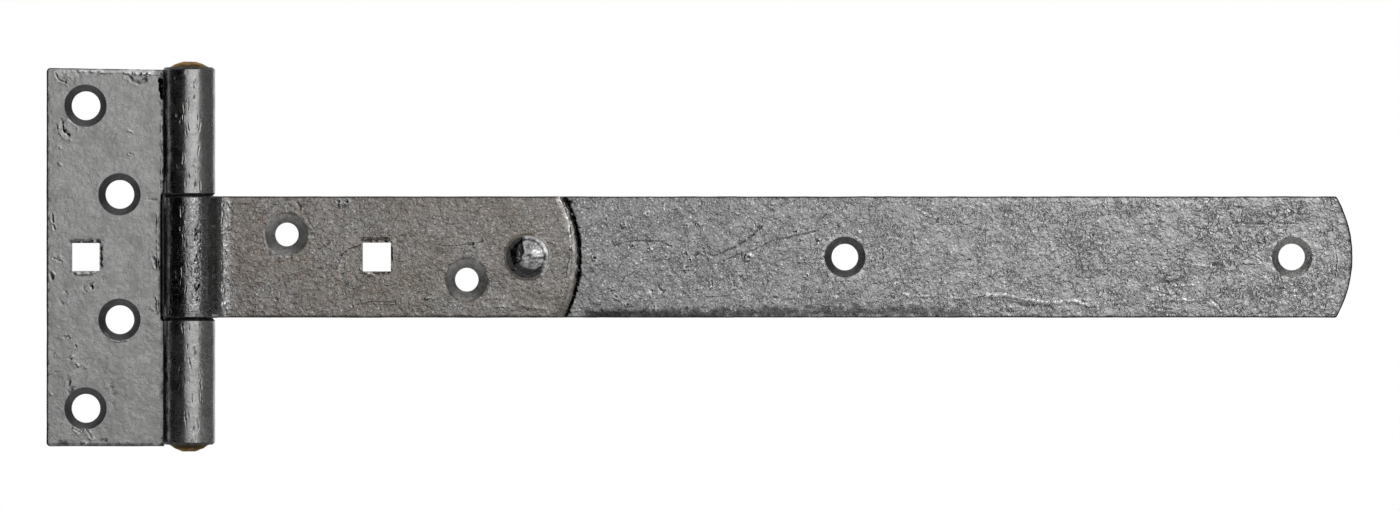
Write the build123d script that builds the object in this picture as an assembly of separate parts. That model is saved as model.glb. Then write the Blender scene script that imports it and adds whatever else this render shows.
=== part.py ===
from build123d import *

import os
from math import asin, atan2, degrees, radians, sqrt, tan

# A heavy tee hinge in four pieces: a frame plate whose edge is rolled into two knuckles,
# a strap folded back on itself round the pin, the rivet that closes the fold, and the pin.
# Millimetres. X runs along the strap, Z along the pin, and the screw heads face -Y.
# Everything is drawn about the pin, from the plane of both leaves' backs, and then moved
# along X to put the origin midway between the frame plate's outer screw holes.

# Flat stock of both leaves, and the pin they turn on
leaf_thickness = 3.5
pin_diameter = 10.0
running_clearance = 0.1

# Frame plate
plate_height = 125.0
plate_reach = 47.4
plate_corner_round = 1.3
plate_top_run_out = 0.7
plate_edge_round = 0.5
roll_seam_gap = 0.3
notch_gap_beside_eye = 0.1
notch_corner_round = 0.3
notch_edge_round = 1.4
knuckle_gap = 0.25
knuckle_end_bevel = 0.8
bottom_knuckle_short = 0.7

# Strap
strap_width = 40.0
strap_reach = 383.9
strap_corner_round = 1.0
bar_edge_bevel = 0.4
tip_arc_radius = 40.0
fold_gap = 0.15
fold_reach = 128.4
fold_arc_radius = 41.5
fold_bevel_length = 2.6
fold_bevel_depth = 0.9
throat_radius = 5.5

# Countersunk screw holes and square bolt holes, placed from the pin's axis and the middle line
sink_angle = 90.0
plate_screw_hole = 9.5
plate_screw_sink = 14.0
outer_screw_x = 34.5
outer_screw_z = 50.0
inner_screw_x = 23.3
inner_screw_z = 20.7
plate_square_x = 34.5
plate_square_side = 9.2
fold_screw_hole = 7.8
fold_screw_sink = 14.0
fold_screw_offset_x = 29.7
fold_screw_offset_z = 7.45
strap_square_x = 61.7
strap_square_side = 9.5
strap_screw_hole = 8.8
strap_screw_sink = 13.5
middle_screw_x = 216.3
tip_screw_inset = 20.0

# Rivet through both layers of the fold
rivet_x = 111.4
rivet_shank = 8.0
rivet_head = 14.2
rivet_head_height = 1.2
rivet_tail = 12.0
rivet_tail_recess = 0.1
rivet_clearance = 0.05

# Peened ends of the pin
pin_head = 13.2
pin_top_height = 1.9
pin_bottom_height = 2.3

# Worked out from the sizes above
bore_radius = pin_diameter / 2 + running_clearance
knuckle_radius = bore_radius + leaf_thickness
axis_y = -knuckle_radius
fold_front_y = -(2 * leaf_thickness + fold_gap)
half_notch = strap_width / 2 + knuckle_gap
notch_x = -(knuckle_radius + notch_gap_beside_eye)
roll_bottom_z = -(plate_height / 2 - bottom_knuckle_short)
sink_flare = tan(radians(sink_angle / 2))
beyond = 3 * knuckle_radius
near = 0.001


def prism_from_front(outline):
    """Carry an outline drawn as seen from the front, X along and Z up, through the whole hinge."""
    seen_from_front = Plane(origin=(0, 0, 0), x_dir=(1, 0, 0), z_dir=(0, -1, 0))
    return extrude(seen_from_front * outline, amount=beyond, both=True)


def round_cut(x, z, y_from, y_to, radius, end_radius=None):
    """A cutter along Y between two depths: a cylinder, or a cone if its end differs."""
    if end_radius is None:
        body = Cylinder(radius, y_to - y_from)
    else:
        body = Cone(radius, end_radius, y_to - y_from)
    return Pos(x, (y_from + y_to) / 2, z) * Rot(-90, 0, 0) * body


def sunk_hole(x, z, hole, sink, front_y, back_y=0.0):
    """A screw hole whose countersink is as wide as its sink diameter at the front face."""
    above = leaf_thickness
    sink_depth = (sink - hole) / 2 / sink_flare
    mouth = sink / 2 + above * sink_flare
    cone = round_cut(x, z, front_y - above, front_y + sink_depth, mouth, hole / 2)
    return cone + round_cut(x, z, front_y, back_y + above, hole / 2)


def square_hole(x, side):
    """The square hole that stops a carriage bolt's neck from turning."""
    return prism_from_front(Pos(x, 0) * Rectangle(side, side))


def roll_section():
    """Section of the roll: the leaf's end, carried once round the pin.

    It leaves the leaf's back face behind the pin, passes its right, front and left, and stops
    a seam's width short of the leaf's own front face.
    """
    centre = (0, axis_y)
    tip_angle = 180 - degrees(asin((bore_radius - roll_seam_gap) / knuckle_radius))
    sweep = tip_angle - 90 - 360
    outer = CenterArc(centre, knuckle_radius, 90, sweep)
    inner = CenterArc(centre, bore_radius, 90, sweep)
    return make_face([outer, Line(outer @ 1, inner @ 1), inner, Line(inner @ 0, outer @ 0)])


def frame_plate_outline():
    """The plate as seen from the front: its top edge is cut a little out of square, and the
    bottom knuckle ends short of the leaf."""
    top = plate_height / 2
    return make_face(
        Polyline(
            (-2 * plate_reach, -top),
            (-knuckle_radius, -top),
            (-knuckle_radius, roll_bottom_z),
            (2 * knuckle_radius, roll_bottom_z),
            (2 * knuckle_radius, top),
            (-knuckle_radius, top),
            (-knuckle_radius, top - plate_top_run_out),
            (-plate_reach, top),
            (-2 * plate_reach, top),
            close=True,
        )
    )


def notch_outline():
    """The gap between the knuckles, with rounded inner corners."""
    width = 2 * knuckle_radius - notch_x
    notch = Pos(notch_x + width / 2, 0) * Rectangle(width, 2 * half_notch)
    return fillet(notch.vertices().group_by(Axis.X)[0], notch_corner_round)


def edges_at(solid, axis, place):
    """The edges that lie in one plane across an axis."""
    return solid.edges().filter_by_position(axis, place - near, place + near)


def is_round(edge, radius):
    return edge.geom_type == GeomType.CIRCLE and abs(edge.radius - radius) < near


def knuckle_rims(plate):
    """The outer circular edges at both ends of both knuckles."""
    rims = ShapeList()
    for z in (plate_height / 2, half_notch, -half_notch, roll_bottom_z):
        rims += edges_at(plate, Axis.Z, z).filter_by(lambda edge: is_round(edge, knuckle_radius))
    return rims


def flat_leaf():
    """The flat leaf. The notch's front edge is well rounded, the outer front edges a little,
    and the back keeps the shear's sharp edge."""
    leaf = Pos(-plate_reach / 2, -leaf_thickness / 2, 0) * Box(plate_reach, leaf_thickness, plate_height)
    leaf &= prism_from_front(frame_plate_outline())
    leaf -= prism_from_front(notch_outline())
    leaf = fillet(leaf.edges().filter_by(Axis.Y).group_by(Axis.X)[0], plate_corner_round)

    front = edges_at(leaf, Axis.Y, -leaf_thickness)
    notch_edge = front.filter_by(lambda edge: abs(edge.center().X - notch_x) < near)
    leaf = fillet(notch_edge, notch_edge_round)
    front = edges_at(leaf, Axis.Y, -leaf_thickness)
    outer_edge = front.filter_by(lambda edge: abs(edge.center().X + plate_reach) < near)
    return fillet(outer_edge, plate_edge_round)


def frame_plate():
    plate = flat_leaf()
    roll = extrude(roll_section(), amount=plate_height / 2, both=True)
    roll &= prism_from_front(frame_plate_outline())
    plate += roll - Box(2 * beyond, 2 * beyond, 2 * half_notch)
    plate = chamfer(knuckle_rims(plate), knuckle_end_bevel)

    for side in (-1, 1):
        for x, z in ((outer_screw_x, outer_screw_z), (inner_screw_x, inner_screw_z)):
            plate -= sunk_hole(-x, side * z, plate_screw_hole, plate_screw_sink, -leaf_thickness)
    return plate - square_hole(-plate_square_x, plate_square_side)


def folded_strap_section():
    """Section of the strap: back leg, eye round the pin, throat, and front leg on the back leg."""
    centre = (0, axis_y)
    throat_y = fold_front_y - throat_radius
    throat_x = sqrt((knuckle_radius + throat_radius) ** 2 - (throat_y - axis_y) ** 2)
    throat = (throat_x, throat_y)
    meet = degrees(atan2(throat_y - axis_y, throat_x))
    fold_back_y = fold_front_y + leaf_thickness
    return make_face(
        [
            Line((strap_reach, 0), (0, 0)),
            CenterArc(centre, knuckle_radius, 90, 270 + meet),
            CenterArc(throat, throat_radius, 180 + meet, -(90 + meet)),
            Line((throat_x, fold_front_y), (fold_reach, fold_front_y)),
            Line((fold_reach, fold_front_y), (fold_reach, fold_back_y)),
            Line((fold_reach, fold_back_y), (throat_x, fold_back_y)),
            CenterArc(throat, throat_radius + leaf_thickness, 180 + meet, -(90 + meet)),
            CenterArc(centre, bore_radius, 90, 270 + meet),
            Line((0, -leaf_thickness), (strap_reach, -leaf_thickness)),
            Line((strap_reach, -leaf_thickness), (strap_reach, 0)),
        ]
    )


def leg_outline(reach, arc_radius):
    """A leg as seen from the front: straight sides and an end cut to a shallow arc."""
    shoulder = reach - arc_radius + sqrt(arc_radius**2 - (strap_width / 2) ** 2)
    start = -beyond
    bar = Pos((start + shoulder) / 2, 0) * Rectangle(shoulder - start, 2 * strap_width)
    return bar + Pos(reach - arc_radius, 0) * Circle(arc_radius)


def front_leg_space():
    """Everything in front of the seam between the two legs."""
    seam_y = -(leaf_thickness + fold_gap / 2)
    return Pos(0, seam_y - beyond, 0) * Box(4 * strap_reach, 2 * beyond, 2 * strap_width)


def bevel_fold_end(bar):
    """The arc at the front leg's end, worn down to a long low bevel."""
    across = bar.faces().filter_by(Axis.Y)
    front = across.filter_by(lambda face: abs(face.center().Y - fold_front_y) < near)[0]
    end_arc = front.edges().filter_by(lambda edge: is_round(edge, fold_arc_radius))
    return chamfer(end_arc, fold_bevel_length, fold_bevel_depth, reference=front)


def bar_edges(bar):
    """The bar's long outer edges, on both legs and round the eye and the tip. Where the two
    legs meet, the front one stays sharp."""
    long_ones = ShapeList()
    seam_y = fold_front_y + leaf_thickness
    for z in (-strap_width / 2, strap_width / 2):
        sides = edges_at(bar, Axis.Z, z).filter_by(lambda edge: not is_round(edge, bore_radius))
        sides = sides.filter_by(lambda edge: not is_round(edge, throat_radius + leaf_thickness))
        sides = sides.filter_by(lambda edge: abs(edge.center().Y - seam_y) > near)
        long_ones += sides.filter_by(lambda edge: edge.length > 1.2 * leaf_thickness)
    tip = bar.edges().filter_by(GeomType.CIRCLE)
    return long_ones + tip.filter_by(lambda edge: edge.center().X > fold_reach + near)


def strap():
    bar = extrude(folded_strap_section(), amount=strap_width / 2, both=True)
    bar &= prism_from_front(leg_outline(strap_reach, tip_arc_radius))
    bar -= front_leg_space() - prism_from_front(leg_outline(fold_reach, fold_arc_radius))
    bar = fillet(bar.edges().filter_by(Axis.Y).group_by(Axis.X)[-1], strap_corner_round)
    bar = bevel_fold_end(bar)
    bar = chamfer(bar_edges(bar), bar_edge_bevel)

    for side in (-1, 1):
        x = strap_square_x + side * fold_screw_offset_x
        z = -side * fold_screw_offset_z
        bar -= sunk_hole(x, z, fold_screw_hole, fold_screw_sink, fold_front_y)
    for x in (middle_screw_x, strap_reach - tip_screw_inset):
        bar -= sunk_hole(x, 0, strap_screw_hole, strap_screw_sink, -leaf_thickness)
    bar -= rivet_body(rivet_clearance)
    return bar - square_hole(strap_square_x, strap_square_side)


def cap(width, height):
    """A peened head standing on the XY plane: a low dome hammered into two slopes."""
    shoulder = 0.7 * width / 2
    crown = 0.35 * width / 2
    rise = 0.6 * height
    lower = Pos(0, 0, rise / 2) * Cone(width / 2, shoulder, rise)
    upper = Pos(0, 0, (rise + height) / 2) * Cone(shoulder, crown, height - rise)
    return lower + upper


def rivet_body(grown=0.0):
    """The rivet's shank and its two hammered cones; grown all round, it is the hole they fill."""
    shank = rivet_shank / 2 + grown
    head = rivet_head / 2 + grown
    tail = rivet_tail / 2 + grown
    head_inner_y = fold_front_y + (head - shank) / sink_flare
    tail_inner_y = -(tail - shank) / sink_flare
    return (
        round_cut(rivet_x, 0, fold_front_y, head_inner_y, head, shank)
        + round_cut(rivet_x, 0, fold_front_y, 0, shank)
        + round_cut(rivet_x, 0, tail_inner_y, 0, shank, tail)
    )


def rivet():
    tail_trim = Pos(rivet_x, leaf_thickness - rivet_tail_recess, 0) * Box(
        2 * rivet_tail, 2 * leaf_thickness, 2 * rivet_tail
    )
    head = Pos(rivet_x, fold_front_y, 0) * Rot(90, 0, 0) * cap(rivet_head, rivet_head_height)
    return rivet_body() - tail_trim + head


def pin():
    top_z = plate_height / 2
    rod = Pos(0, axis_y, (top_z + roll_bottom_z) / 2) * Cylinder(pin_diameter / 2, top_z - roll_bottom_z)
    top_head = Pos(0, axis_y, top_z) * cap(pin_head, pin_top_height)
    bottom_head = Pos(0, axis_y, roll_bottom_z) * Rot(180, 0, 0) * cap(pin_head, pin_bottom_height)
    return rod + top_head + bottom_head


nodes = {"frame_plate": frame_plate(), "strap": strap(), "rivet": rivet(), "pin": pin()}
os.makedirs("parts", exist_ok=True)
for name, shape in nodes.items():
    export_step(Pos(outer_screw_x, 0, 0) * shape, os.path.join("parts", name + ".step"))
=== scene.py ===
from math import cos, pi, radians, sin

import bpy
import numpy as np
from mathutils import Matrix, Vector, noise


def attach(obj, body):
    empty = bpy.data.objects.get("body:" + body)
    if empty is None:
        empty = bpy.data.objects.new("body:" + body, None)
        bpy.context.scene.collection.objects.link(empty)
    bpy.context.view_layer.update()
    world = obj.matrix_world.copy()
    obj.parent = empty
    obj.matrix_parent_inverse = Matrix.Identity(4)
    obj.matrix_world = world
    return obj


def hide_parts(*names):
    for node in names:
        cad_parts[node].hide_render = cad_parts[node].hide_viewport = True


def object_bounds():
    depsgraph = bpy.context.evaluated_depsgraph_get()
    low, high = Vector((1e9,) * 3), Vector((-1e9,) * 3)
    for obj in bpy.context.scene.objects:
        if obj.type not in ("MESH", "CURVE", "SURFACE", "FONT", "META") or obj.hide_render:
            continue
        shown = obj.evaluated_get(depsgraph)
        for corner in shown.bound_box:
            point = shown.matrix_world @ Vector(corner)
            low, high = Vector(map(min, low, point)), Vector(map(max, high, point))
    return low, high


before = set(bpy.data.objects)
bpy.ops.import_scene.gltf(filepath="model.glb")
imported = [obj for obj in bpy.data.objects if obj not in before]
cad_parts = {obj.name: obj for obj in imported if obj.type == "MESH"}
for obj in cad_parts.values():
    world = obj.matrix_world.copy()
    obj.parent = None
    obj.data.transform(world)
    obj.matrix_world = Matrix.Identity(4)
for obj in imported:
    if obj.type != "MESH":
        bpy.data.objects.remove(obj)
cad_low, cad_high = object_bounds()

# Camera. The hinge was laid flat and taken square from the front with a long lens. Here it
# stands upright, so the camera looks along +Y at the middle of the photograph.
photo_middle = (0.2029, 0.0005)
photo_width = 0.4628
camera_distance = 3.0
camera_data = bpy.data.cameras.new("camera")
camera_data.sensor_width = 36.0
camera_data.lens = 36.0 * camera_distance / photo_width
camera = bpy.data.objects.new("camera", camera_data)
camera.location = (photo_middle[0], -camera_distance, photo_middle[1])
camera.rotation_euler = (pi / 2, 0, 0)
bpy.context.scene.collection.objects.link(camera)
bpy.context.scene.camera = camera
bpy.context.scene.view_settings.view_transform = "Standard"

# Floor. A plain pale sheet below the hinge, out of the front view, that takes its shadow from
# the sides.
bpy.ops.object.select_all(action="DESELECT")
bpy.ops.mesh.primitive_plane_add(size=1.0, location=(photo_middle[0], 0, -0.2))
floor = bpy.context.active_object
floor.name = "floor"
floor.scale = (4.0, 4.0, 1)
bpy.ops.object.transform_apply(location=True, rotation=True, scale=True)
floor_paper = bpy.data.materials.new("floor_paper")
floor_paper.use_nodes = True
floor_shader = floor_paper.node_tree.nodes["Principled BSDF"]
floor_shader.inputs["Base Color"].default_value = (0.86, 0.86, 0.86, 1)
floor_shader.inputs["Roughness"].default_value = 0.9
floor.data.materials.append(floor_paper)

# Room. Plain soft light from all round. The camera and the metal see it white, and everything
# else is lit by it a little less.
room = bpy.data.worlds.new("room")
bpy.context.scene.world = room
room.use_nodes = True
room_nodes = room.node_tree.nodes
room_links = room.node_tree.links
seen = room_nodes.new("ShaderNodeLightPath")
seen_straight_or_mirrored = room_nodes.new("ShaderNodeMath")
seen_straight_or_mirrored.operation = "MAXIMUM"
seen_at_all = room_nodes.new("ShaderNodeMath")
seen_at_all.operation = "MAXIMUM"
room_light = room_nodes.new("ShaderNodeMapRange")
room_light.inputs["To Min"].default_value = 0.75
room_light.inputs["To Max"].default_value = 1.0
room_links.new(seen.outputs["Is Camera Ray"], seen_straight_or_mirrored.inputs[0])
room_links.new(seen.outputs["Is Glossy Ray"], seen_straight_or_mirrored.inputs[1])
room_links.new(seen_straight_or_mirrored.outputs[0], seen_at_all.inputs[0])
room_links.new(seen.outputs["Is Transmission Ray"], seen_at_all.inputs[1])
room_links.new(seen_at_all.outputs[0], room_light.inputs["Value"])
room_nodes["Background"].inputs["Color"].default_value = (1, 1, 1, 1)
room_links.new(room_light.outputs[0], room_nodes["Background"].inputs["Strength"])


# Lamps. A wide soft box to the right of the camera, a small bright one above it that makes the
# glints, and a soft one behind for the back of the hinge.
def soft_box(name, place, aim, size, brightness):
    lamp = bpy.data.lights.new(name, "AREA")
    lamp.shape = "SQUARE"
    lamp.size = size
    lamp.energy = brightness * pi * size * size
    box = bpy.data.objects.new(name, lamp)
    box.location = place
    box.rotation_euler = (Vector(aim) - Vector(place)).to_track_quat("-Z", "Y").to_euler()
    box.visible_camera = False
    bpy.context.scene.collection.objects.link(box)


soft_box("wide_box", (0.95, -1.9, 0.45), (0.1, 0, 0), 1.5, 0.45)
soft_box("glint_box", (0.85, -1.5, 0.75), (0.2, 0, 0), 0.45, 3.4)
soft_box("back_box", (0.0, 1.8, 0.9), (0.2, 0, 0), 1.2, 1.2)


# Dark cards. The photo's knuckles mirror something dark on both sides and below: cards that
# only the metal sees, black on the left and below, grey far to the right.
def dark_card(name, shade, corners):
    bpy.ops.object.select_all(action="DESELECT")
    bpy.ops.mesh.primitive_plane_add(size=1.0)
    card = bpy.context.active_object
    card.name = name
    for vertex, corner in zip(card.data.vertices, corners):
        vertex.co = corner
    paper = bpy.data.materials.new(name + "_paper")
    paper.use_nodes = True
    shader = paper.node_tree.nodes["Principled BSDF"]
    shader.inputs["Base Color"].default_value = (shade, shade, shade, 1)
    shader.inputs["Roughness"].default_value = 1.0
    shader.inputs["Specular IOR Level"].default_value = 0.0
    card.data.materials.append(paper)
    card.visible_camera = False
    card.visible_diffuse = False
    card.visible_shadow = False
    card.visible_transmission = False


dark_card(
    "left_card", 0.005,
    ((-0.35, -1.9, -0.19), (-0.35, 0.02, -0.19), (-0.35, -1.9, 0.9), (-0.35, 0.02, 0.9)),
)
dark_card(
    "low_card", 0.02,
    ((-0.34, -1.3, -0.19), (0.6, -1.3, -0.19), (-0.34, -0.42, -0.19), (0.6, -0.42, -0.19)),
)
dark_card(
    "right_card", 0.17,
    ((1.2, -1.05, -1.2), (1.2, 1.4, -1.2), (1.2, -1.05, 1.2), (1.2, 1.4, 1.2)),
)


# Frame plate. One sheet of hot-rolled steel, sheared to size; its right-hand edge is rolled
# round the pin into two knuckles, and it was waxed and worn in use. It replaces the CAD solid
# because the sheet's waves, dents, nicks and burrs are real relief.
axis_x = 0.0345
axis_y = -0.0086
knuckle_radius = 0.0086
bore_radius = 0.0051
leaf_end = axis_x - knuckle_radius

# What is nearer to the pin's axis than the bore's zone is the bore, and what is nearer than the
# inner zone is out of sight and stays smooth. The cells are those of the finished mesh.
bore_zone = 0.0056
inner_zone = 0.0081
coarse_cell = 0.006
fine_cell = 0.0020


def start_piece(node_name, piece_name):
    """Copy a CAD node's mesh into a new piece, weld it, join its flat faces and leave it open in
    edit mode."""
    piece = bpy.data.objects.new(piece_name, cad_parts[node_name].data.copy())
    bpy.context.scene.collection.objects.link(piece)
    bpy.ops.object.select_all(action="DESELECT")
    piece.select_set(True)
    bpy.context.view_layer.objects.active = piece
    piece.data.materials.clear()
    bpy.ops.mesh.customdata_custom_splitnormals_clear()
    bpy.context.scene.tool_settings.mesh_select_mode = (False, True, False)
    bpy.ops.object.mode_set(mode="EDIT")
    bpy.ops.mesh.select_all(action="SELECT")
    bpy.ops.mesh.remove_doubles(threshold=1e-6)
    bpy.ops.mesh.dissolve_limited(angle_limit=radians(0.2))
    return piece


def read(items, what, width=3):
    """One property of all vertices or faces as an array with a row for each."""
    values = np.empty(len(items) * width, np.int32 if what == "material_index" else np.float32)
    items.foreach_get(what, values)
    return values.reshape(-1, width) if width > 1 else values


def pick_faces(piece, chosen):
    """Select the faces whose centres and normals pass a test, in edit mode."""
    bpy.ops.mesh.select_all(action="DESELECT")
    bpy.ops.object.mode_set(mode="OBJECT")
    faces = piece.data.polygons
    faces.foreach_set("select", chosen(read(faces, "center"), read(faces, "normal")))
    bpy.ops.object.mode_set(mode="EDIT")


def give_material(piece, slot_number, chosen):
    """Give the faces that pass a test another of the piece's materials, in edit mode."""
    bpy.ops.object.mode_set(mode="OBJECT")
    faces = piece.data.polygons
    passed = chosen(read(faces, "center"), read(faces, "normal"))
    numbers = np.where(passed, slot_number, read(faces, "material_index", 1)).astype(np.int32)
    faces.foreach_set("material_index", numbers)
    bpy.ops.object.mode_set(mode="EDIT")


def sinks(centres, normals, holes):
    """Which faces belong to the countersink or the wall of one of the holes, given in metres."""
    sink_reach = 0.0073
    near = np.zeros(len(centres), bool)
    for x, z in holes:
        near |= np.hypot(centres[:, 0] - x, centres[:, 2] - z) < sink_reach
    return near & (np.abs(normals[:, 1]) < 0.95)


def cut_apart(low, high, direction):
    """Cut the whole piece by planes from low to high along a direction, a coarse cell apart."""
    for count in range(1, int((high - low) / coarse_cell) + 1):
        bpy.ops.mesh.select_all(action="SELECT")
        bpy.ops.mesh.bisect(
            plane_co=direction * (low + coarse_cell * count), plane_no=direction, threshold=1e-6
        )


def cut_round(piece, slices, chosen):
    """Cut the faces that pass a test by planes through the pin's axis, like a cake."""
    for count in range(slices):
        turn = pi * (count + 0.37) / slices
        pick_faces(piece, chosen)
        bpy.ops.mesh.bisect(
            plane_co=(axis_x, axis_y, 0), plane_no=(-sin(turn), cos(turn), 0), threshold=1e-6
        )


def into_triangles():
    bpy.ops.mesh.select_all(action="SELECT")
    bpy.ops.mesh.quads_convert_to_tris(quad_method="BEAUTY", ngon_method="BEAUTY")


def divide_long(piece, longest, chosen, rounds=4):
    """Halve the edges longer than a length on the faces that pass a test, a few times over."""
    for _ in range(rounds):
        into_triangles()
        pick_faces(piece, chosen)
        bpy.ops.object.mode_set(mode="OBJECT")
        points = read(piece.data.vertices, "co")
        ends = np.empty(len(piece.data.edges) * 2, np.int32)
        piece.data.edges.foreach_get("vertices", ends)
        picked = np.empty(len(piece.data.edges), bool)
        piece.data.edges.foreach_get("select", picked)
        lengths = np.linalg.norm(points[ends[0::2]] - points[ends[1::2]], axis=1)
        piece.data.polygons.foreach_set("select", np.zeros(len(piece.data.polygons), bool))
        piece.data.edges.foreach_set("select", picked & (lengths > longest))
        bpy.ops.object.mode_set(mode="EDIT")
        bpy.ops.mesh.subdivide(number_cuts=1)
    into_triangles()


def from_axis(points):
    return np.hypot(points[:, 0] - axis_x, points[:, 1] - axis_y)


def round_out(piece, furthest_x):
    """Bring what lies on a chord of the roll or the bore out to its true radius. The CAD mesh's
    chords are nowhere deeper than 0.11 mm."""
    points = read(piece.data.vertices, "co")
    distance = from_axis(points)
    for radius in (knuckle_radius, bore_radius):
        depth = radius - distance
        on_chord = (depth > 0) & (depth < 0.00011) & (points[:, 0] < furthest_x)
        for column, centre in ((0, axis_x), (1, axis_y)):
            out = centre + (points[:, column] - centre) * radius / np.maximum(distance, 1e-6)
            points[:, column] = np.where(on_chord, out, points[:, column])
    piece.data.vertices.foreach_set("co", points.ravel())


def close_to(points, line, reach):
    """Which points, seen from the front, are within reach of a line, and how far, in millimetres."""
    flat = points[:, [0, 2]] * 1000
    low = np.min(line, axis=0) - reach
    high = np.max(line, axis=0) + reach
    near = np.flatnonzero(((flat > low) & (flat < high)).all(axis=1))
    flat = flat[near]
    distance = np.full(len(flat), 1000.0)
    for start, end in zip(line, line[1:]):
        along = np.array(end) - np.array(start)
        share = np.clip((flat - start) @ along / max(along @ along, 1e-9), 0, 1)
        out = flat - start - share[:, None] * along
        distance = np.minimum(distance, np.hypot(out[:, 0], out[:, 1]))
    return near, distance


def refine(piece, marks):
    """Halve the cells along the marks twice, the second time nearer to each, so that a mark a
    millimetre wide has its shape."""
    for share_of_width in (1.8, 1.5):
        def near_a_mark(centres, normals):
            chosen = np.zeros(len(centres), bool)
            for line, width, *_ in marks:
                reach = share_of_width * width + 0.2
                near, distance = close_to(centres, line, reach)
                chosen[near[distance < reach]] = True
            return chosen & (normals[:, 1] < -0.4)

        pick_faces(piece, near_a_mark)
        bpy.ops.mesh.subdivide(number_cuts=1)
        into_triangles()


def roughen(piece, swell, swell_size, grain, grain_size, share_of):
    """Move the skin in and out by slow swells and by a finer grain, both in millimetres."""
    points = read(piece.data.vertices, "co")
    normals = read(piece.data.vertices, "normal")
    share = share_of(points, normals)
    slow = np.array([noise.noise(Vector(p) * (1000 / swell_size)) for p in points])
    fine = np.array([noise.fractal(Vector(p) * (1000 / grain_size), 0.8, 2.0, 2) for p in points])
    move = share * (swell * slow + grain * fine) / 1000
    piece.data.vertices.foreach_set("co", (points + normals * move[:, None]).astype(np.float32).ravel())


def press_marks(piece, marks):
    """Press each mark into the front, or raise it: its line, width, depth and lip, in
    millimetres. All are made crooked and ragged. Hollows are painted darker as shade, and lips
    and ridges paler as painted highlights."""
    points = read(piece.data.vertices, "co")
    facing = read(piece.data.vertices, "normal")[:, 1] < -0.3
    rise = np.zeros(len(points))
    shine = np.zeros(len(points))
    bent = points.copy()
    crooked = 0.00022
    for column, aside in ((0, Vector((9.3, -1.5, -7.9))), (2, Vector((-9.7, 3.2, 8.4)))):
        bent[:, column] += [crooked * noise.noise(Vector(p) * 450 + aside) for p in points]
    for line, width, depth, lip in marks:
        near, distance = close_to(bent, line, 3 * width)
        ragged = np.array([0.8 + 1.3 * noise.noise(Vector(p) * 900) for p in points[near]])
        across = distance / width
        hollow = np.exp(-1.6 * across**2) * np.maximum(ragged, 0.1) * depth
        edge = np.exp(-(((across - 1.3) / 0.55) ** 2)) * np.maximum(ragged, 0.1) * lip
        rise[near] += edge - hollow
        shine[near] += 4.5 * edge - 4.0 * hollow
    points[:, 1] -= np.where(facing, rise / 1000, 0)
    piece.data.vertices.foreach_set("co", points.ravel())
    stains_wear_and_painted_light = piece.data.attributes.new("stains_wear_and_painted_light", "FLOAT", "POINT")
    stains_wear_and_painted_light.data.foreach_set("value", np.where(facing, np.clip(shine, -1, 1), 0).astype(np.float32))


def paint_stains_and_light(piece, stains_and_painted_light):
    """Paint the colour paler along a line where the strength is above nothing and darker where it
    is below: stains, painted highlights and painted shade. Line, width and strength of each, all
    with torn edges."""
    points = read(piece.data.vertices, "co")
    stains_wear_and_painted_light = read(piece.data.attributes["stains_wear_and_painted_light"].data, "value", 1)
    for line, width, strength in stains_and_painted_light:
        near, distance = close_to(points, line, 2.5 * width)
        torn = np.array([noise.fractal(Vector(p) * 500, 0.8, 2.0, 3) for p in points[near]])
        stains_wear_and_painted_light[near] += strength * np.clip(1.4 - distance / width + 1.1 * torn, 0, 1)
    piece.data.attributes["stains_wear_and_painted_light"].data.foreach_set("value", stains_wear_and_painted_light.astype(np.float32))


def short_strokes(seed, count, low, high, length, width, depth, lip):
    """Marks for press_marks: short upright ones at seeded random places in a rectangle."""
    chance = np.random.default_rng(seed)
    strokes = []
    for x, z in chance.uniform(low, high, (count, 2)):
        tall = length * chance.uniform(0.4, 1.6)
        slant = 0.2 * tall * chance.uniform(-1, 1)
        size = chance.uniform(0.6, 1.4)
        strokes.append((((x, z), (x + slant, z - tall)), width, size * depth, size * lip))
    return strokes


def leaf_edges_and_sinks(centres, normals):
    """The sheared edges, the hole walls, the countersinks, the knuckles' ends and the bore."""
    off_front = np.abs(normals[:, 1]) < 0.9
    on_leaf = (centres[:, 0] < leaf_end - 0.0004) & off_front
    return on_leaf | (np.abs(normals[:, 2]) > 0.5) | (from_axis(centres) < bore_zone)


def outside(centres, normals):
    """Neither the bore nor the back."""
    return (from_axis(centres) > 0.006) & (normals[:, 1] < 0.9)


plate = start_piece("frame_plate", "worn_frame_plate")
# The sheared edges, hole walls, knuckle ends and bore take the nearly black material, and the
# countersinks the dark one: painted shade.
give_material(plate, 1, leaf_edges_and_sinks)
plate_holes = ((0.0, 0.05), (0.0, -0.05), (0.0112, 0.0207), (0.0112, -0.0207))
give_material(plate, 2, lambda centres, normals: sinks(centres, normals, plate_holes))
cut_apart(cad_low.x, leaf_end, Vector((1, 0, 0)))
cut_apart(cad_low.z, cad_high.z, Vector((0, 0, 1)))
cut_round(plate, 18, lambda centres, normals: centres[:, 0] > leaf_end - 0.0001)
divide_long(plate, fine_cell, outside)

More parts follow.
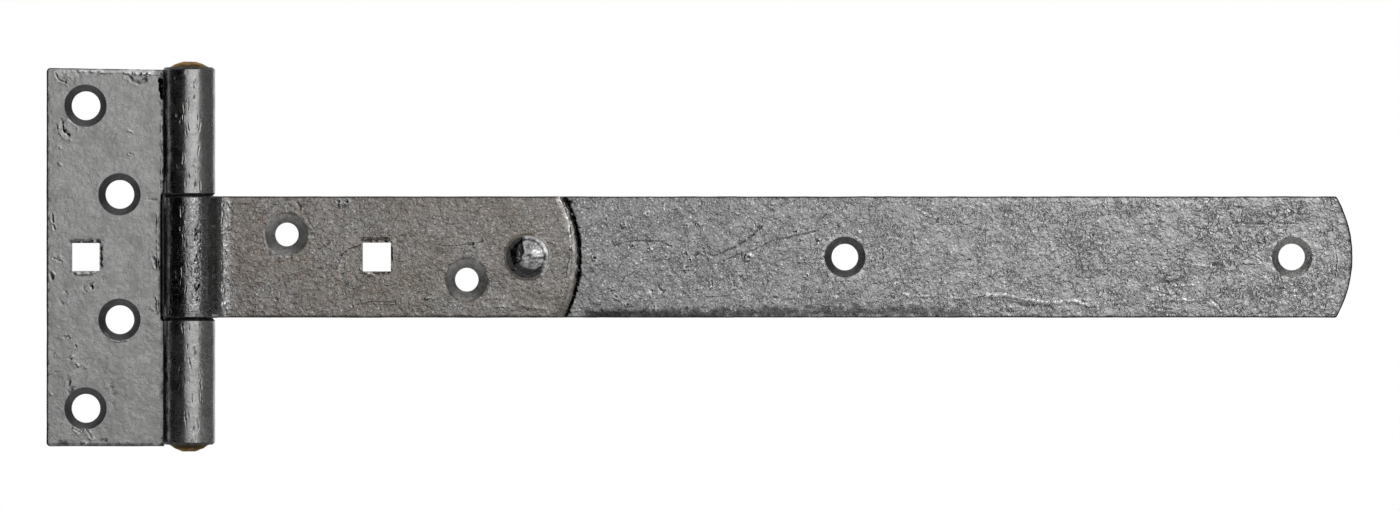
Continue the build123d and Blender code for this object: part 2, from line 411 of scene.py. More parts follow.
# The plate's dents, nicks and burrs: line, width, depth and lip.
plate_marks = [
    (((-8.2, 45.6), (-7.7, 44), (-7.2, 42.3)), 0.3, 0.22, 0.04),
    (((-7.2, 42), (-6.7, 41.2), (-5.5, 40.3)), 0.4, 0.4, 0.05),
    (((-6.2, 45), (-5.7, 42.3)), 0.8, -0.05, 0),
    (((-9, 44), (-8.7, 41.7), (-7.3, 39.3), (-5, 38.7)), 0.45, -0.07, 0),
    (((-9.3, 36.7), (-8.3, 36)), 0.4, -0.06, 0),
    (((-9, 31.1), (-8, 30.4)), 0.4, -0.08, 0),
    (((-10, 60.5), (-8.7, 58.5), (-6.7, 57.5)), 0.35, 0.1, 0.05),
    (((-8.7, 59.8), (-6.4, 60.2), (-4.4, 59.2)), 0.5, -0.09, 0),
    (((13.8, 59.8), (15.8, 58.2), (17.8, 57.5), (19.8, 58.5)), 0.8, 0.1, 0.03),
    (((24.9, 58.4), (25.2, 55.5), (25.7, 52.9)), 0.8, 0.9, 0),
    (((25, 51.9), (25.2, 22.2)), 0.4, -0.05, 0),
    (((14.1, 41.7), (15.5, 41.2)), 0.4, -0.07, 0),
    (((14.5, 34.2), (15.8, 33.6)), 0.35, 0.1, 0.05),
    (((18.1, 35.9), (19.1, 35.5)), 0.35, -0.06, 0),
    (((20.8, 19), (23.1, 18.8)), 0.28, 0.14, 0.03),
    (((-4.4, 4.8), (3.9, 4.8)), 0.9, 0.22, 0),
    (((5, 3.6), (5, -3.6)), 0.5, 0.14, 0),
    (((-4.4, -5), (-2.1, -5.6), (1.9, -5.6), (3.9, -4.6)), 0.5, -0.14, 0),
    (((1.7, -8.9), (2.1, -10.2)), 0.45, 0.4, 0.08),
    (((-0.7, -8.9), (-0.6, -10.9), (1.2, -12.2)), 0.35, 0.07, 0.03),
    (((0.6, -7.6), (1.9, -7.3)), 0.4, -0.05, 0),
    (((-10.7, -0.3), (-8, -1.6)), 0.35, 0.14, 0.05),
    (((-8.7, 0.3), (-7.7, -1)), 0.6, -0.1, 0),
    (((-6.7, -11.2), (-6, -12.2)), 0.35, 0.08, 0.04),
    (((-8.3, -14.2), (-8, -15.2)), 0.8, 0.09, 0),
    (((-11, 13.6), (-10.7, 11.6)), 0.4, 0.14, 0.04),
    (((-10.7, 10.3), (-10.3, 9.3)), 0.4, 0.12, 0.05),
    (((-11, -5.3), (-10.3, -5.9)), 0.5, -0.14, 0),
    (((-11.5, -5.6), (-11, -6.9)), 0.5, 0.2, 0),
    (((22.4, -0.3), (23.1, -3)), 0.6, 0.1, 0.06),
    (((23.7, 13.9), (23.7, 7.3)), 0.35, -0.09, 0),
    (((23.6, 5.6), (23.9, -1.6)), 0.35, -0.1, 0),
    (((23.7, -1.6), (24.1, -3.6)), 0.45, -0.16, 0),
    (((23.4, -13.5), (23.9, -18.5)), 0.4, -0.14, 0),
    (((21.7, -16.9), (22.4, -17.5)), 0.35, -0.08, 0),
    (((-7, -26.4), (-5.7, -26.4)), 0.4, 0.14, 0.06),
    (((-3.4, -29.1), (-3.1, -29.6)), 0.35, 0.08, 0.03),
    (((-5.4, -33.7), (-4.7, -33.4)), 0.45, 0.2, 0.03),
    (((-4.5, -32.7), (-4.2, -33.2)), 0.45, -0.14, 0),
    (((-3.1, -34.7), (-2.1, -36.4)), 0.4, -0.1, 0),
    (((-2.1, -36), (0.3, -36.4)), 0.5, -0.05, 0),
    (((-5.4, -41), (-5.7, -42.6)), 0.6, 0.12, 0.03),
    (((-4, -43.3), (-5.4, -44.6)), 0.6, 0.14, 0),
    (((8.5, -42.3), (9.2, -45.3)), 0.9, 0.06, 0),
    (((8.9, -48.6), (9.8, -50.6)), 0.5, 0.05, 0),
    (((6.5, -25.1), (8.5, -27.4), (10.8, -28.1), (13.5, -27.4)), 0.35, -0.08, 0),
    (((-6.4, 47.9), (-5.4, 45), (-2.7, 42.6)), 0.35, -0.05, 0),
    (((-3.7, -56.9), (-2.4, -57.7), (-0.7, -57.2)), 0.35, 0.08, 0.08),
    (((0.3, -57.2), (1.6, -58.8), (1.9, -59.5)), 0.4, 0.1, 0.08),
    (((-0.9, -61), (0.3, -61.5)), 0.5, -0.2, 0),
    (((-8.7, -61.2), (-6.7, -61.5)), 0.7, 0.12, 0),
    (((4.9, -60.8), (6.5, -60.5)), 0.7, 0.12, 0),
    (((-11.6, -45), (-11, -45.6)), 0.4, -0.1, 0),
    (((-8.7, 61.3), (-3.1, 61.2)), 0.35, -0.07, 0),
    (((-2.7, 61.2), (5.5, 61)), 0.45, -0.15, 0),
    (((5.9, 60.8), (12.8, 61)), 0.35, -0.08, 0),
    (((13.5, 60.8), (16.5, 60.5)), 0.6, -0.14, 0),
    (((18.1, 60.5), (20.1, 60.3), (22.1, 60.7)), 0.7, -0.2, 0),
    (((23.4, 60.5), (25.7, 60.8)), 0.5, -0.12, 0),
]
plate_marks += short_strokes(3, 26, (30.5, 21.0), (39.5, 60.0), 2.0, 0.3, 0.07, 0.03)
plate_marks += short_strokes(4, 26, (30.5, -60.0), (39.5, -20.5), 2.0, 0.3, 0.07, 0.03)

# Painted shade along the sheared edges, in the corners beside the knuckles, with some wax there,
# and at the notch by the strap's eye, and a painted highlight along the top edge: line, width
# and strength.
plate_painted_light = (
    (((-12.6, 61.8), (-12.6, -61.8), (25.0, -61.8)), 0.45, -0.7),
    (((26.4, 62.0), (26.4, 19.0)), 0.9, -0.9),
    (((26.4, -19.0), (26.4, -62.0)), 0.9, -0.9),
    (((24.6, 18.0), (24.6, -18.0)), 0.5, -0.6),
    (((27.8, 62.0), (27.8, 19.0)), 1.3, -0.6),
    (((27.8, -19.0), (27.8, -62.0)), 1.3, -0.6),
    (((-10.0, 61.2), (22.5, 61.2)), 0.5, 0.6),
    (((-3.0, 61.2), (5.5, 61.2)), 0.6, 1.2),
    (((13.5, 61.0), (16.5, 61.0)), 0.6, 1.0),
    (((18.2, 60.9), (22.0, 60.9)), 0.9, 1.4),
)
refine(plate, plate_marks + [line for line in plate_painted_light if line[1] < 0.6])
bpy.ops.object.mode_set(mode="OBJECT")
round_out(plate, cad_high.x)


def plate_skin(points, normals):
    """Full relief on the leaf and round the knuckles, none in the bore, on end faces or behind."""
    inner = from_axis(points) < inner_zone
    knuckle_end = (points[:, 0] > leaf_end) & (np.abs(normals[:, 2]) > 0.5)
    return np.where(inner | knuckle_end | (normals[:, 1] > 0.3), 0.0, 1.0)


def close_gaps(piece, chosen, outward):
    """Let the ends of a knuckle or eye stand out by a burr, so that they all but touch as the
    real ones do."""
    burr = 0.0001
    points = read(piece.data.vertices, "co")
    ends = chosen(points, read(piece.data.vertices, "normal"))
    points[:, 2] += np.where(ends, outward * burr * np.sign(points[:, 2]), 0)
    piece.data.vertices.foreach_set("co", points.ravel())


def inner_knuckle_ends(points, normals):
    on_end = (points[:, 0] > leaf_end) & (np.abs(normals[:, 2]) > 0.9)
    return on_end & (np.abs(points[:, 2]) < 0.022)


close_gaps(plate, inner_knuckle_ends, -1)
roughen(plate, 0.08, 9.0, 0.03, 3.0, plate_skin)
press_marks(plate, plate_marks)
paint_stains_and_light(plate, plate_painted_light)
bpy.ops.object.shade_smooth_by_angle(angle=radians(38))


def add(tree, kind, settings, **inputs):
    """Add a shader node; each named input is set to a number or linked to another node's socket."""
    made = tree.nodes.new("ShaderNode" + kind)
    for name, value in settings.items():
        setattr(made, name, value)
    for name, value in inputs.items():
        socket = made.inputs[name.replace("_", " ")]
        if isinstance(value, bpy.types.NodeSocket):
            tree.links.new(value, socket)
        else:
            socket.default_value = value
    return made


def grey(value, warmth=0.0):
    """A steel colour: a grey level, redder for a warmth above nothing."""
    return (value * (1 + warmth), value * (1 + 0.25 * warmth), value * (1 - 0.6 * warmth), 1)


def joined(tree, made, values):
    """Set or link the numbered inputs of a node."""
    for place, value in values:
        if isinstance(value, bpy.types.NodeSocket):
            tree.links.new(value, made.inputs[place])
        else:
            made.inputs[place].default_value = value
    return made


def mixed(tree, share, first, second):
    """Mix two colours by a share."""
    mix = add(tree, "Mix", {"data_type": "RGBA"})
    return joined(tree, mix, ((0, share), (6, first), (7, second))).outputs[2]


def reckoned(tree, operation, first, second):
    """Two numbers put together by a math node."""
    made = add(tree, "Math", {"operation": operation})
    return joined(tree, made, ((0, first), (1, second))).outputs[0]


def times(tree, first, second):
    return reckoned(tree, "MULTIPLY", first, second)


def band(tree, value, low, high, start=0.0, end=1.0):
    """Map a socket from low..high to start..end, and hold it there."""
    made = add(tree, "MapRange", {"clamp": True}, Value=value, From_Min=low, From_Max=high)
    made.inputs["To Min"].default_value = start
    made.inputs["To Max"].default_value = end
    return made.outputs[0]


def millimetres(tree):
    """The place on the piece, in millimetres."""
    place = add(tree, "TexCoord", {}).outputs["Object"]
    return add(tree, "Mapping", {}, Vector=place, Scale=(1000, 1000, 1000)).outputs[0]


def waxed_steel(name, dark, pale, roughness, grain_size, relief, flecks, cracks):
    """Hot-rolled steel under a thin dark wax: mottled greys with fine relief, bright flecks that are
    painted glints, dark specks and hairline cracks. The piece's own attributes add creases where it
    is crumpled, painted darker as shade in their valleys, and an attribute of stains, wear and
    painted light makes the colour paler above nothing and darker below it."""
    material = bpy.data.materials.new(name)
    material.use_nodes = True
    tree = material.node_tree
    shader = tree.nodes["Principled BSDF"]
    shader.inputs["Metallic"].default_value = 1.0
    mm = millimetres(tree)

    def clouds(scale, detail, harshness=0.5, distortion=0.0, kind="FBM"):
        """A noise pattern with so many grains to the millimetre."""
        return add(
            tree, "TexNoise", {"noise_type": kind}, Vector=mm, Scale=scale, Detail=detail,
            Roughness=harshness, Distortion=distortion,
        ).outputs

    mottle = clouds(0.22, 5.0, 0.65)[0]
    grain = clouds(0.7 / grain_size, 3.0, 0.7)[0]
    lumps = clouds(0.55 / grain_size, 2.0, 0.6)[0]
    folds = clouds(0.32 / grain_size, 1.0, kind="RIDGED_MULTIFRACTAL")[0]
    spark = clouds(1.3 / grain_size, 1.0)[0]
    patchy = clouds(0.16, 3.0)[0]
    crumpled = add(tree, "Attribute", {"attribute_name": "crumpled"}).outputs["Fac"]
    stains_wear_and_light_share = add(tree, "Attribute", {"attribute_name": "stains_wear_and_painted_light"}).outputs["Fac"]

    # Cracks are the borders of warped cells; creases are the contour lines of a slow pattern.
    pull = clouds(0.6, 4.0)["Color"]
    pulled = add(tree, "VectorMath", {"operation": "SCALE"}, Vector=pull, Scale=3.0).outputs[0]
    bent = joined(tree, add(tree, "VectorMath", {}), ((0, mm), (1, pulled))).outputs[0]
    cells = add(tree, "TexVoronoi", {"feature": "DISTANCE_TO_EDGE"}, Vector=bent, Scale=0.22)
    crack = band(tree, cells.outputs[0], 0.0, 0.05, cracks, 0.0)
    squirm = clouds(0.42, 2.0, distortion=1.2)[0]
    off_line = reckoned(tree, "ABSOLUTE", reckoned(tree, "SUBTRACT", squirm, 0.5), 0.0)
    crease = times(tree, band(tree, off_line, 0.0, 0.045, 1.0, 0.0), crumpled)
    crease = times(tree, crease, band(tree, patchy, 0.40, 0.56))

    fine_share = band(tree, grain, 0.36, 0.64, 0.0, 0.7)
    slow_share = band(tree, mottle, 0.36, 0.64, 0.0, 0.3)
    base = mixed(tree, reckoned(tree, "ADD", fine_share, slow_share), dark, pale)
    # Bright flecks are painted glints; dark specks are random dark spots.
    base = mixed(tree, band(tree, spark, 0.64, 0.70, 0.0, flecks), base, grey(0.75))
    base = mixed(tree, band(tree, spark, 0.34, 0.28, 0.0, flecks), base, grey(0.03))
    base = mixed(tree, crack, base, grey(0.04))
    # The creases are painted darker as shade in their valleys.
    base = mixed(tree, times(tree, crease, 0.6), base, grey(0.05))
    # Paler above nothing, for wear and painted highlights; darker below it, for painted shade and
    # stains.
    base = mixed(tree, band(tree, stains_wear_and_light_share, 0.0, 0.9, 0.0, 0.8), base, grey(0.62))
    base = mixed(tree, band(tree, stains_wear_and_light_share, -0.05, -0.9, 0.0, 0.9), base, grey(0.02))
    tree.links.new(base, shader.inputs["Base Color"])
    uneven = band(tree, mottle, 0.3, 0.7, roughness + 0.06, roughness - 0.06)
    tree.links.new(uneven, shader.inputs["Roughness"])

    relief_of_each = (
        (lumps, band(tree, crumpled, 0.3, 1.3, 0.6, 1.0), relief, False),
        (folds, band(tree, crumpled, 0.0, 1.3, 0.25, 1.0), 0.8 * relief, False),
        (crack, 1.0, 0.04, True),
        (crease, 1.0, 0.13, True),
    )
    skin = None
    for height, strength, deep, invert in relief_of_each:
        bump = add(tree, "Bump", {"invert": invert}, Height=height, Strength=strength)
        bump.inputs["Distance"].default_value = deep / 1000
        if skin is not None:
            tree.links.new(skin, bump.inputs["Normal"])
        skin = bump.outputs[0]
    tree.links.new(skin, shader.inputs["Normal"])
    return material


plate_steel = waxed_steel(
    "plate_steel_waxed", grey(0.305, 0.01), grey(0.385, 0.01), 0.27, 0.9, 0.14, 0.3, 0.0
)
# Both are painted shade: the edge material nearly black, the countersink material dark.
shade_painted_edge_steel = waxed_steel("edge_steel_painted_shade", grey(0.02), grey(0.07), 0.45, 0.9, 0.08, 0.1, 0.0)
shade_painted_sink_steel = waxed_steel("sink_steel_painted_shade", grey(0.095), grey(0.15), 0.5, 0.9, 0.05, 0.1, 0.0)
for material in (plate_steel, shade_painted_edge_steel, shade_painted_sink_steel):
    plate.data.materials.append(material)
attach(plate, "frame")
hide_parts("frame_plate")

# Strap. One flat bar of the same steel, bent round the pin as an eye and folded back along its
# own front. The fold is smoother and browned by heat, and the bar gets more crinkled and creased
# towards its tip, where it is also painted paler as a painted sheen.
strap = start_piece("strap", "worn_strap")
eye_end_x = axis_x + 0.008
fold_end = axis_x + 0.1284
fold_front = -0.00715
fold_seam = -0.0036
fold_arc_radius = 0.0415


def in_the_seam(points, short_by=0.0):
    """Where the two layers lie face to face, up to the arc in which the fold ends or short of
    it."""
    arc_x = fold_end - fold_arc_radius + np.sqrt(fold_arc_radius**2 - points[:, 2] ** 2)
    return (np.abs(points[:, 1] - fold_seam) < 0.0002) & (points[:, 0] < arc_x - short_by)


def bar_edges_and_sinks(centres, normals):
    """The bar's edges, the hole walls, the countersinks, the eye's ends and the bore, but not
    the throat."""
    off_front = (np.abs(normals[:, 1]) < 0.9) & (centres[:, 0] > 0.048)
    return off_front | (np.abs(normals[:, 2]) > 0.5) | (from_axis(centres) < bore_zone)


def strap_outside(centres, normals):
    """Neither the bore, nor the back, nor the two faces that meet in the fold's seam."""
    return outside(centres, normals) & ~in_the_seam(centres, 0.007)


# The bar's edges, hole walls, eye's ends and bore take the nearly black material, and one countersink
# the dark one: painted shade.
give_material(strap, 1, bar_edges_and_sinks)
strap_holes = ((0.2508, 0.0),)
pale_holes = ((0.0665, 0.00745), (0.1259, -0.00745), (0.3984, 0.0))
give_material(strap, 2, lambda centres, normals: sinks(centres, normals, strap_holes))
give_material(strap, 3, lambda centres, normals: sinks(centres, normals, pale_holes))
cut_apart(eye_end_x, cad_high.x, Vector((1, 0, 0)))
bar_low = -0.0202
bar_high = 0.02
cut_apart(bar_low, bar_high, Vector((0, 0, 1)))
cut_round(strap, 18, lambda centres, normals: centres[:, 0] < eye_end_x)
divide_long(strap, fine_cell, strap_outside)

# The bar's creases, scratches, pits and forged-over edge: line, width, depth and lip.
strap_marks = [
    (((83.6, 18.3), (83.7, 18.3)), 0.6, 0.2, 0.15),
    (((86.2, 18.3), (86.3, 18.3)), 0.6, 0.2, 0.15),
    (((89.2, -15.9), (92.5, -15.5), (94.8, -14.7), (97.8, -14.9), (102.4, -14.9)), 0.28, 0.14, 0.05),
    (((63.1, -13.9), (63.2, -13.9)), 0.5, 0.35, 0.05),
    (((83.9, 0), (87.2, 2.3), (90.8, 4)), 0.28, 0.1, 0.03),
    (((82.2, 0.7), (83.9, -1.6), (82.6, -4)), 0.28, 0.07, 0.03),
    (((76.9, 1.7), (79.3, 3.6), (81.6, 5.3)), 0.28, 0.08, 0.03),
    (((85.9, -12.2), (85.5, -10.2), (86.9, -8.6)), 0.3, 0.09, 0.04),
    (((90.8, -4), (92.5, -5.3), (95.1, -5.9)), 0.6, -0.16, 0),
    (((95.5, -5.6), (99.8, -5.3)), 0.7, 0.3, 0),
    (((100.8, 4.6), (101.1, -1.6)), 0.5, 0.12, 0.03),
    (((91.5, 5.3), (99.8, 5.3)), 0.8, 0.2, 0),
    (((117.9, 3.6), (123.9, 3.6), (126.9, 4.3)), 0.28, 0.08, 0.03),
    (((126.5, 4.3), (127.9, 4.3)), 0.5, 0.2, 0.04),
    (((127.9, 4.5), (131.2, 5)), 0.28, 0.08, 0.03),
    (((111.7, -13.5), (113.3, -13.5)), 0.4, -0.12, 0),
    (((70, 17.9), (71, 16.2)), 0.45, 0.12, 0.08),
    (((136.8, -16.2), (140.8, -16.9)), 0.5, -0.1, 0.04),
    (((143.4, -15.9), (151.7, -17.2)), 0.45, -0.1, 0.04),
    (((156.9, 18.8), (158.9, 13.9), (159.9, 9.6), (160.3, 5.6), (160.3, -0.3), (158.9, -7.6),
      (156.3, -15.5)), 0.4, -0.12, 0),
    (((200.9, 0.2), (203.2, 2), (207.2, 0.2), (210.8, 1.5), (214.8, 3.3), (219.8, 6.8),
      (223.7, 10.3)), 0.3, 0.16, 0.03),
    (((210.5, -1.2), (215.5, 0.7), (220.8, 2.3), (227.7, 5.6), (234.6, 6.9),
      (241.6, 8.6)), 0.3, 0.15, 0.02),
    (((174.3, 3.3), (178.1, 4.8), (181.9, 5.3), (189.5, 5.1), (193.3, 3.3)), 0.3, 0.13, 0.02),
    (((206.5, -3.3), (206.9, -9.6)), 0.3, 0.1, 0.07),
    (((213.1, -3), (214.1, -10.2)), 0.3, 0.08, 0.05),
    (((225.9, -5.3), (224.6, -9.6)), 0.3, 0.08, 0.05),
    (((204.6, -13.5), (212.8, -12.9)), 0.28, 0.05, 0.03),
    (((168, -0.2), (168.1, -0.2)), 0.5, 0.3, 0.12),
    (((197.9, 1.2), (198, 1.2)), 0.5, 0.26, 0.14),
    (((218.8, 0), (218.9, 0)), 0.6, 0.35, 0.25),
    (((189.8, -10.6), (190.5, -11.4)), 0.6, 0.2, 0.05),
    (((274.3, 16.2), (276.6, 14.5), (278.9, 13.2)), 0.35, -0.12, 0),
    (((242.6, 12.2), (244.6, 14.2)), 0.35, 0.1, 0.08),
    (((254.8, 8.6), (255.8, 7.9)), 0.5, -0.2, 0),
    (((269.7, -12.2), (273, -12.9), (280.6, -12.9)), 0.5, -0.16, 0),
    (((282.2, -13.2), (288.9, -13.9), (297.4, -12.6)), 0.4, -0.08, 0),
    (((297.4, -12.6), (303.4, -12.6), (311, -14.2), (318.6, -15.2), (326.5, -14.5),
      (331.2, -16.2)), 0.6, -0.2, 0),
    (((298.8, -14.2), (308.7, -15.9), (318.6, -16.9)), 0.8, 0.12, 0),
    (((351.3, -10.6), (355, -10.9), (357.9, -12.2)), 0.6, -0.2, 0),
    (((353.3, -11.9), (357, -13.2)), 0.5, -0.12, 0),
    (((355.6, -13.9), (362.2, -14.2), (365.9, -14.5)), 0.5, -0.14, 0),
    (((351.7, -14.9), (353.6, -16.9), (358.3, -17.2)), 0.4, 0.14, 0.08),
    (((364.6, -2.6), (369.2, -3), (374.1, -3.3), (376.5, -4.3), (380.1, -4)), 0.4, -0.14, 0),
    (((372.8, -2.6), (374.8, -2.6)), 0.8, 0.3, 0.06),
    (((359.6, -9.6), (365.9, -9.3)), 0.4, -0.16, 0),
    (((355, -7.9), (358.3, -8.9), (362.2, -7.3)), 0.9, 0.08, 0),
    (((379.1, 11.2), (386, 10.9), (389.3, 10.9)), 0.35, 0.16, 0.05),
    (((389.3, 9.3), (389.3, 4)), 0.3, 0.12, 0.05),
    (((393.3, 11.2), (400.6, 10.9)), 0.35, 0.14, 0.06),
    (((393, 16.5), (394, 12.9)), 0.3, 0.14, 0.05),
    (((395.3, 17.2), (399.3, 14.2), (403.9, 13.9)), 0.35, 0.1, 0.08),
    (((337.4, 17.2), (338.1, 5.6)), 0.28, 0.06, 0.03),
    (((337.4, -1.6), (337.1, -14.2)), 0.28, 0.05, 0.02),
    (((366.5, 9.9), (373.1, 7.9), (376.5, 9.3)), 0.3, 0.1, 0.05),
    (((369.8, 5.6), (370.8, -1.6)), 0.28, 0.08, 0.05),
    (((375.5, 0.7), (379.8, 3), (382.4, 1.7)), 0.3, 0.1, 0.05),
    (((381.4, -1.6), (385.4, 0.7), (388.7, -1.6)), 0.3, 0.1, 0.05),
    (((386.4, 6.9), (387.4, 1.7)), 0.28, 0.1, 0.04),
    (((389.7, -9.3), (390.7, -16.9)), 0.3, 0.1, 0.06),
    (((370.8, -12.9), (373.5, -15.5), (375.5, -17.5)), 0.35, 0.12, 0.06),
    (((411.2, 11.6), (413.1, -1), (411.5, -12.9)), 0.4, 0.08, 0.08),
]
strap_marks += short_strokes(7, 46, (36.8, -14.0), (38.7, 11.0), 0.9, 0.3, 0.2, 0.04)
strap_marks += short_strokes(8, 20, (30.0, -17.0), (36.5, 17.0), 2.0, 0.3, 0.08, 0.03)
strap_marks += short_strokes(9, 44, (45.2, -17.5), (47.6, 18.5), 1.2, 0.35, -0.14, 0.0)
# Small pits whose lips are painted bright as glints.
strap_marks += short_strokes(11, 90, (166.0, -17.0), (400.0, 18.0), 0.3, 0.35, 0.15, 0.12)
# A groove at the foot of the fold's end, painted dark as the shadow in the crevice.
arc_heights = (-19.8, -15, -10, -5, 0, 5, 10, 15, 19.8)
arc = [(fold_end * 1000 - 41.5 + (41.5**2 - z**2) ** 0.5, z) for z in arc_heights]
strap_marks.append(([(x + 0.35, z) for x, z in arc], 0.45, 0.9, 0.0))


def part_of_ring(x, z, radius, start, end, step=15):
    """Points along a ring seen from the front, from one angle to another in degrees."""
    turns = [radians(turn) for turn in range(start, end + 1, step)]
    return [(x + radius * cos(turn), z + radius * sin(turn)) for turn in turns]


# Painted shade along the bar's edges and tip, on the eye's left side, at the crevice of the
# fold's end and in a crescent on the rivet's left; painted highlights along the top edge, on the
# fold's rounded end and on the rivet's right; painted shade and highlights round the
# countersinks; a darker band along part of the bottom edge and dark stains on the face: line,
# width and strength.
strap_stains_and_painted_light = [
    (((27.8, 19.5), (27.8, -19.5)), 1.6, -0.7),
    (((166.0, -19.4), (180.0, -18.6), (200.0, -19.0), (240.0, -18.6), (270.0, -18.0),
      (290.0, -19.5)), 2.0, -0.9),
    (((285.0, 18.8), (345.0, 18.6), (410.0, 19.2)), 0.9, 0.4),
    ([(x - 1.6, z) for x, z in arc[1:-1]], 0.4, 0.7),
    ([(x - 0.4, z) for x, z in arc], 0.5, -0.5),
    (((166.0, 19.8), (412.6, 19.8)), 0.3, -0.5),
    (((48.0, 19.75), (156.0, 19.75)), 0.3, -0.6),
    (((290.0, -19.75), (412.6, -19.75)), 0.4, -0.9),
    (((48.0, -19.6), (156.0, -19.6)), 0.5, -0.8),
    (part_of_ring(378.4, 0.0, 39.65, -30, 30, 6), 0.45, -0.9),
    (((354.0, -7.6), (362.0, -8.2)), 1.7, -0.3),
    (((384.0, 14.5), (390.0, 12.5)), 1.5, -0.3),
    (((398.0, 17.0), (404.0, 13.5)), 1.2, -0.3),
    (part_of_ring(145.9, 0.0, 7.4, 75, 300), 0.5, -0.9),
    (part_of_ring(145.9, 0.0, 7.6, -50, 75), 0.35, 0.6),
    (part_of_ring(66.5, 7.45, 7.2, -60, 120), 0.35, -0.8),
    (part_of_ring(66.5, 7.45, 7.5, 165, 285), 0.3, 0.6),
    (part_of_ring(125.9, -7.45, 7.2, 0, 360), 0.35, -0.7),
    (part_of_ring(250.8, 0.0, 7.5, 0, 360), 0.4, 0.5),
    (part_of_ring(398.4, 0.0, 7.4, 0, 360), 0.4, 0.4),
]
refine(strap, strap_marks + [line for line in strap_stains_and_painted_light if line[1] < 0.6])
bpy.ops.object.mode_set(mode="OBJECT")
round_out(strap, axis_x + 0.005)


def strap_skin(points, normals):
    """Full relief outside, none in the bore, on the eye's end faces, in the seam or behind."""
    eye_end = (points[:, 0] < axis_x + 0.009) & (np.abs(normals[:, 2]) > 0.5)
    inner = from_axis(points) < inner_zone
    none = inner | eye_end | in_the_seam(points) | (normals[:, 1] > 0.3)
    return np.where(none, 0.0, np.where(points[:, 0] < fold_end, 0.7, 1.0))


def eye_ends(points, normals):
    return (points[:, 0] < axis_x + 0.009) & (np.abs(normals[:, 2]) > 0.9)


close_gaps(strap, eye_ends, 1)
roughen(strap, 0.10, 8.0, 0.06, 3.0, strap_skin)
press_marks(strap, strap_marks)
paint_stains_and_light(strap, strap_stains_and_painted_light)
along_bar = read(strap.data.vertices, "co")[:, 0]
crumpled = strap.data.attributes.new("crumpled", "FLOAT", "POINT")
crumpled.data.foreach_set("value", np.clip((along_bar - 0.15) / 0.19, 0.08, 1.3).astype(np.float32))
bpy.ops.object.shade_smooth_by_angle(angle=radians(38))


def tint(material, share, colour):
    """Mix a colour over what reaches a material's base colour."""
    tree = material.node_tree
    socket = tree.nodes["Principled BSDF"].inputs["Base Color"]
    tree.links.new(mixed(tree, share, socket.links[0].from_socket, colour), socket)


strap_steel = waxed_steel(
    "strap_steel_waxed", grey(0.175, 0.01), grey(0.335, 0.0), 0.22, 0.8, 0.25, 0.7, 0.4
)
nodes = strap_steel.node_tree
place_mm = millimetres(nodes)
along, deep, _ = add(nodes, "SeparateXYZ", {}, Vector=place_mm).outputs
on_fold = times(nodes, band(nodes, deep, -5.0, -6.5), band(nodes, along, 46.0, 50.0))

# The heat left tan patches on the fold and rusty spots near the eye. The bar is painted paler
# along its length, a painted sheen for the brighter light towards its tip.
heat_tan = (0.18, 0.148, 0.115, 1)
rust = (0.29, 0.165, 0.115, 1)
patches = add(nodes, "TexNoise", {}, Vector=place_mm, Scale=0.06, Detail=6.0, Roughness=0.6)
patch_share = band(nodes, patches.outputs[0], 0.40, 0.58, 0.25, 0.5)
tint(strap_steel, times(nodes, on_fold, patch_share), heat_tan)
spots = add(nodes, "TexNoise", {}, Vector=place_mm, Scale=0.4, Detail=4.0, Roughness=0.7)
near_the_eye = times(nodes, on_fold, band(nodes, along, 140.0, 70.0, 0.3, 1.0))
spot_share = band(nodes, spots.outputs[0], 0.54, 0.68, 0.0, 0.45)
tint(strap_steel, times(nodes, near_the_eye, spot_share), rust)
# Painted sheen: paler towards the tip, for the light the tip catches.
tint(strap_steel, band(nodes, along, 175.0, 290.0, 0.0, 0.17), grey(0.62))
pale_sink_steel = waxed_steel(
    "pale_sink_steel", grey(0.21, 0.02), grey(0.42, 0.02), 0.36, 0.9, 0.15, 0.3, 0.0
)
for material in (strap_steel, shade_painted_edge_steel, shade_painted_sink_steel, pale_sink_steel):
    strap.data.materials.append(material)
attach(strap, "strap")
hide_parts("strap")

# Rivet. A steel rivet through both layers of the strap, its head beaten down by hand with a
# ball hammer into uneven facets.
rivet = start_piece("rivet", "hammered_rivet")
rivet_x = axis_x + 0.1114
rivet_reach = 7.1
dome_height = 1.5
above_fold = fold_front - 0.00002
divide_long(rivet, 0.0003, lambda centres, normals: centres[:, 1] < above_fold, 5)
bpy.ops.object.mode_set(mode="OBJECT")

# The blows that shaped the head: the way each facet leans, its slope and its height over the
# rivet's middle in millimetres.
blows = (
    (0.0, 0.06, 1.25),
    (25.0, 0.22, 1.55),
    (80.0, 0.26, 1.6),
    (135.0, 0.30, 1.75),
    (195.0, 0.42, 2.1),
    (235.0, 0.48, 2.3),
    (290.0, 0.34, 1.9),
    (335.0, 0.24, 1.6),
)
points = read(rivet.data.vertices, "co")
right = (points[:, 0] - rivet_x) * 1000
up = points[:, 2] * 1000
share = np.clip(1 - (np.hypot(right, up) / rivet_reach) ** 2, 0, 1)
height = dome_height * share**0.6
for turn, slope, top in blows:
    leaning = right * cos(radians(turn)) + up * sin(radians(turn))
    height = np.minimum(height, np.maximum(top - slope * leaning, 0))
beaten = np.array([noise.fractal(Vector(p) * 450, 0.8, 2.0, 3) for p in points])
height = np.maximum(height + 0.10 * beaten * np.clip(4 * share, 0, 1), 0.0)
on_head = points[:, 1] < above_fold
points[:, 1] = np.where(on_head, fold_front - height / 1000, points[:, 1])
rivet.data.vertices.foreach_set("co", points.ravel())
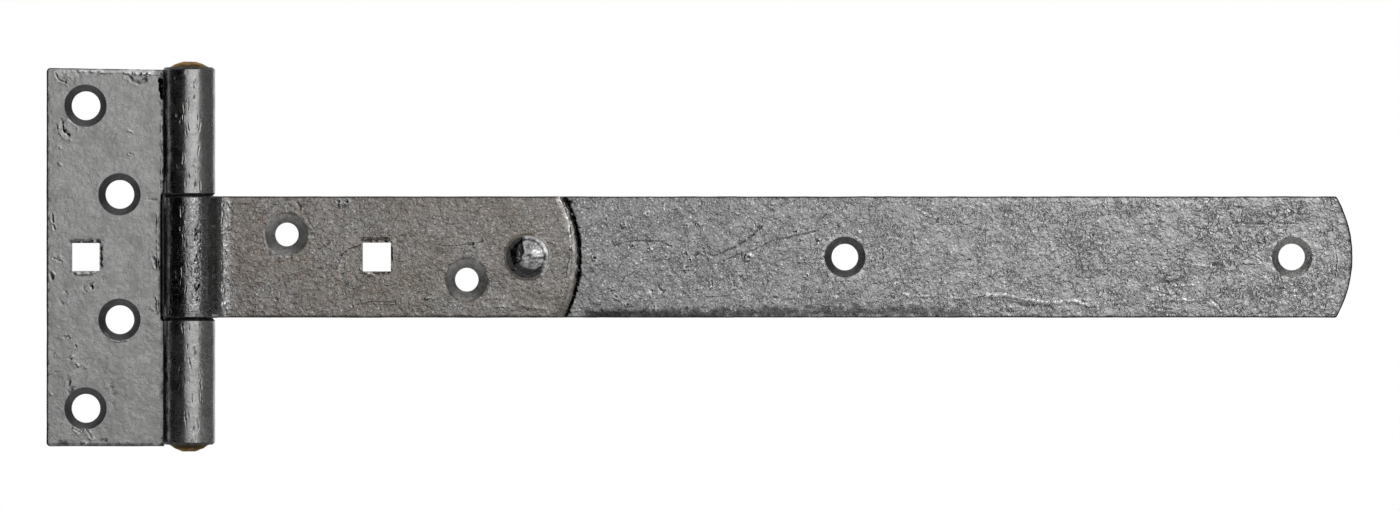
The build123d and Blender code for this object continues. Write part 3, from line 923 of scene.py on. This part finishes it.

# A crescent at the lower left and a groove at the upper right are painted dark as shade, and the
# rim beyond the groove is painted bright as a highlight.
upper_right = 0.85 * right + 0.5 * up
off_middle = np.hypot(right - 1.3, up - 0.9) + 0.5 * beaten
crescent = np.clip((off_middle - 4.5) / 0.7, 0, 1) * np.clip((2.8 - upper_right) / 1.5, 0, 1)
from_middle = np.hypot(right, up) + 0.3 * beaten
groove = np.exp(-(((from_middle - 5.7) / 0.3) ** 2)) * (upper_right > 1.5)
rim = np.clip((from_middle - 6.1) / 0.3, 0, 1) * (upper_right > 2.5)
streaks = 0.3 * beaten + 0.12
shine = streaks - 1.2 * crescent - 0.9 * groove + 0.4 * rim
stains_wear_and_painted_light = rivet.data.attributes.new("stains_wear_and_painted_light", "FLOAT", "POINT")
stains_wear_and_painted_light.data.foreach_set("value", np.where(on_head, shine, 0).astype(np.float32))
bpy.ops.object.shade_smooth_by_angle(angle=radians(25))
rivet.data.materials.append(
    waxed_steel("rivet_steel_beaten", grey(0.10, 0.02), grey(0.38), 0.24, 1.2, 0.10, 0.3, 0.0)
)
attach(rivet, "strap")
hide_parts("rivet")

# Pin. A round rod of a copper-brown metal whose two ends were hammered over the knuckles. Only
# the beaten heads show; the rod and the line where a head meets its knuckle are painted dark as
# shade.
pin = start_piece("pin", "peened_pin")
divide_long(pin, 0.0006, lambda centres, normals: np.abs(centres[:, 2]) > 0.0605)
bpy.ops.object.mode_set(mode="OBJECT")
points = read(pin.data.vertices, "co")
normals = read(pin.data.vertices, "normal")
beaten = np.array([noise.fractal(Vector(p) * 380, 0.8, 2.0, 3) for p in points])
top_knuckle_end = 0.06255
bottom_knuckle_end = -0.0619
on_heads = (points[:, 2] > top_knuckle_end) | (points[:, 2] < bottom_knuckle_end)
inward = np.where(on_heads, -0.16 * np.abs(beaten) / 1000, 0)
pin.data.vertices.foreach_set("co", (points + normals * inward[:, None]).astype(np.float32).ravel())
stains_wear_and_painted_light = pin.data.attributes.new("stains_wear_and_painted_light", "FLOAT", "POINT")
by_the_knuckle = np.abs(points[:, 2]) < 0.0631
shine = np.where(on_heads & ~by_the_knuckle, 0.3 * beaten - 0.1, -0.9)
stains_wear_and_painted_light.data.foreach_set("value", shine.astype(np.float32))
bpy.ops.object.shade_smooth_by_angle(angle=radians(30))
dark_copper = (0.028, 0.013, 0.005, 1)
pale_copper = (0.21, 0.13, 0.058, 1)
copper = waxed_steel("pin_copper_brown", dark_copper, pale_copper, 0.42, 0.9, 0.15, 0.15, 0.0)
copper_shader = copper.node_tree.nodes["Principled BSDF"]
copper_shader.inputs["Specular Tint"].default_value = (0.80, 0.67, 0.50, 1)
pin.data.materials.append(copper)
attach(pin, "frame")
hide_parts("pin")
